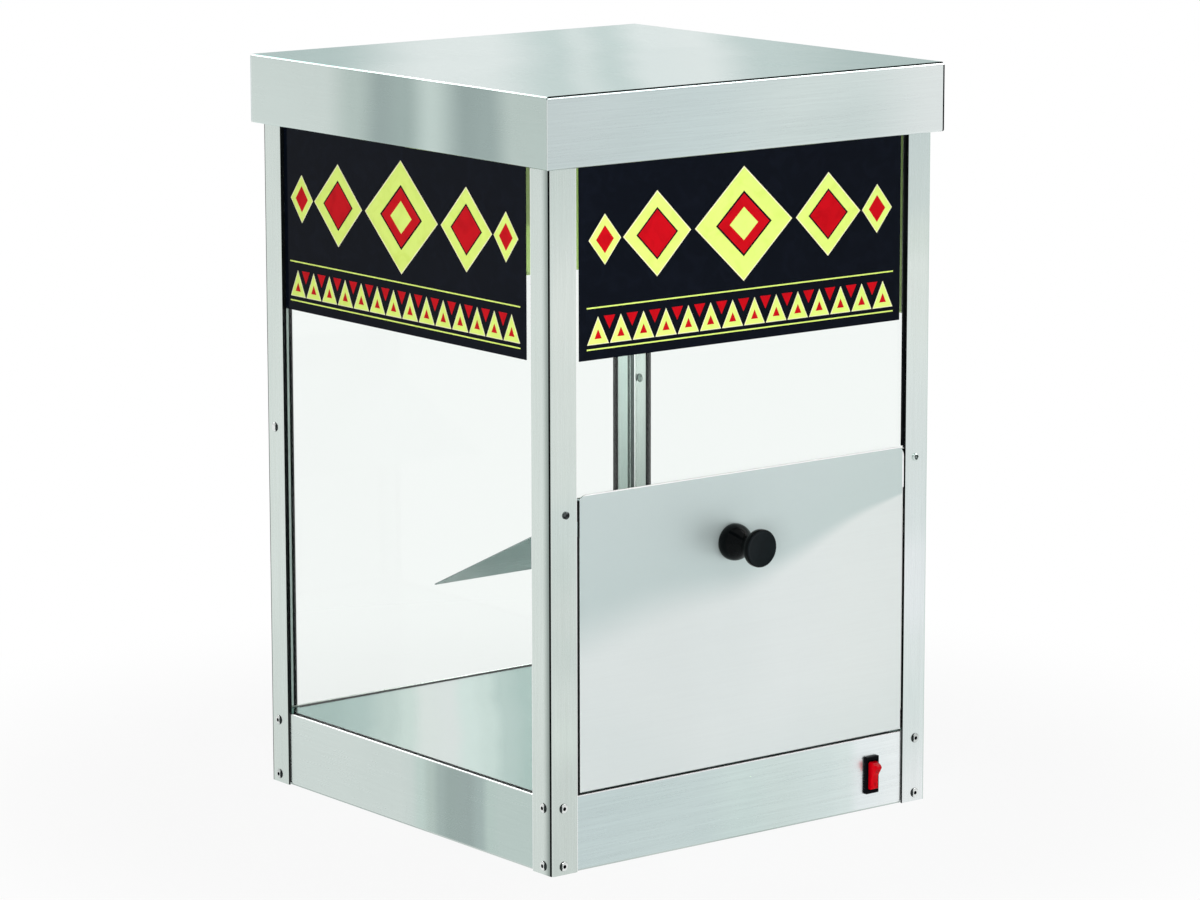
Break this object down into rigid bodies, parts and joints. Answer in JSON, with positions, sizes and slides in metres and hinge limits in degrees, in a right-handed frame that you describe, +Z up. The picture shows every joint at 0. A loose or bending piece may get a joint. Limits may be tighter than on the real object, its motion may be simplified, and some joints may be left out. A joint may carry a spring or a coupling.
{
  "type": "chip warmer",
  "caption": "Countertop snack chip warmer: square riveted steel frame, glass sides, lift-off hood, tilt-out serving door, sloping baffle and heated base.",
  "frame": {"origin": "centre of the base where the cabinet stands on the counter", "axes": "-Y out of the front with the door and switch, +X to the right seen from the front, +Z up"},
  "size_m": [0.406, 0.437, 0.618],
  "materials": {
    "satin_steel": "satin stainless sheet",
    "polished_steel": "bright polished stainless sheet",
    "plain_steel": "plain zinc or stainless hardware",
    "bright_aluminium": "bright reflector sheet",
    "element_sheath": "dark oxidised sheath",
    "clear_glass": "clear tempered glass",
    "sign_print": "glossy black printed sheet",
    "black_rubber": "soft black strip",
    "black_plastic": "fine satin moulded plastic",
    "black_gloss": "gloss black phenolic",
    "red_lens": "translucent red rocker",
    "white_block": "ivory moulded insulator"
  },
  "bodies": {
    "cabinet": {"front_left_post": "satin_steel", "front_right_post": "satin_steel", "rear_left_post": "satin_steel", "rear_right_post": "satin_steel", "front_base_panel": "satin_steel", "front_top_rail": "satin_steel", "front_glass": "clear_glass", "front_glass_seals": "black_rubber", "front_sign": "sign_print", "right_base_panel": "satin_steel", "right_top_rail": "satin_steel", "right_glass": "clear_glass", "right_glass_seals": "black_rubber", "right_sign": "sign_print", "rear_base_panel": "satin_steel", "rear_top_rail": "satin_steel", "rear_glass": "clear_glass", "rear_glass_seals": "black_rubber", "rear_sign": "sign_print", "left_base_panel": "satin_steel", "left_top_rail": "satin_steel", "left_glass": "clear_glass", "left_glass_seals": "black_rubber", "left_sign": "sign_print", "floor_plate": "satin_steel", "bottom_cover": "satin_steel", "chip_baffle": "satin_steel", "hinge_brackets": "plain_steel", "door_pivot_pins": "plain_steel", "bottom_cover_screws": "plain_steel", "base_rivets": "plain_steel", "rear_post_rivets": "plain_steel", "baffle_screws": "plain_steel", "baffle_nuts": "plain_steel", "magnet_catch": "black_plastic", "switch_housing": "black_plastic", "cord_bushing": "black_plastic", "heating_element": "element_sheath", "element_hangers": "plain_steel", "heat_shield": "bright_aluminium", "thermostat": "black_plastic", "terminal_block": "white_block"},
    "door": {"door_panel": "polished_steel", "door_knob": "black_gloss", "knob_screw": "plain_steel"},
    "hood": {"hood_top": "satin_steel", "hood_front_band": "satin_steel", "hood_rear_band": "satin_steel"},
    "rocker": {"switch_rocker": "red_lens"}
  },
  "joints": [
    {"name": "door_tilt", "type": "hinge", "parent": "cabinet", "child": "door", "pos_m": [0, -0.1915, 0.0715], "axis": [1, 0, 0], "range_deg": [0, 50]},
    {"name": "hood_lift", "type": "slide", "parent": "cabinet", "child": "hood", "axis": [0, 0, 1], "range_m": [0, 0.2]},
    {"name": "rocker_press", "type": "hinge", "parent": "cabinet", "child": "rocker", "pos_m": [0.137, -0.1955, 0.03], "axis": [1, 0, 0], "range_deg": [-28, 0]}
  ]
}
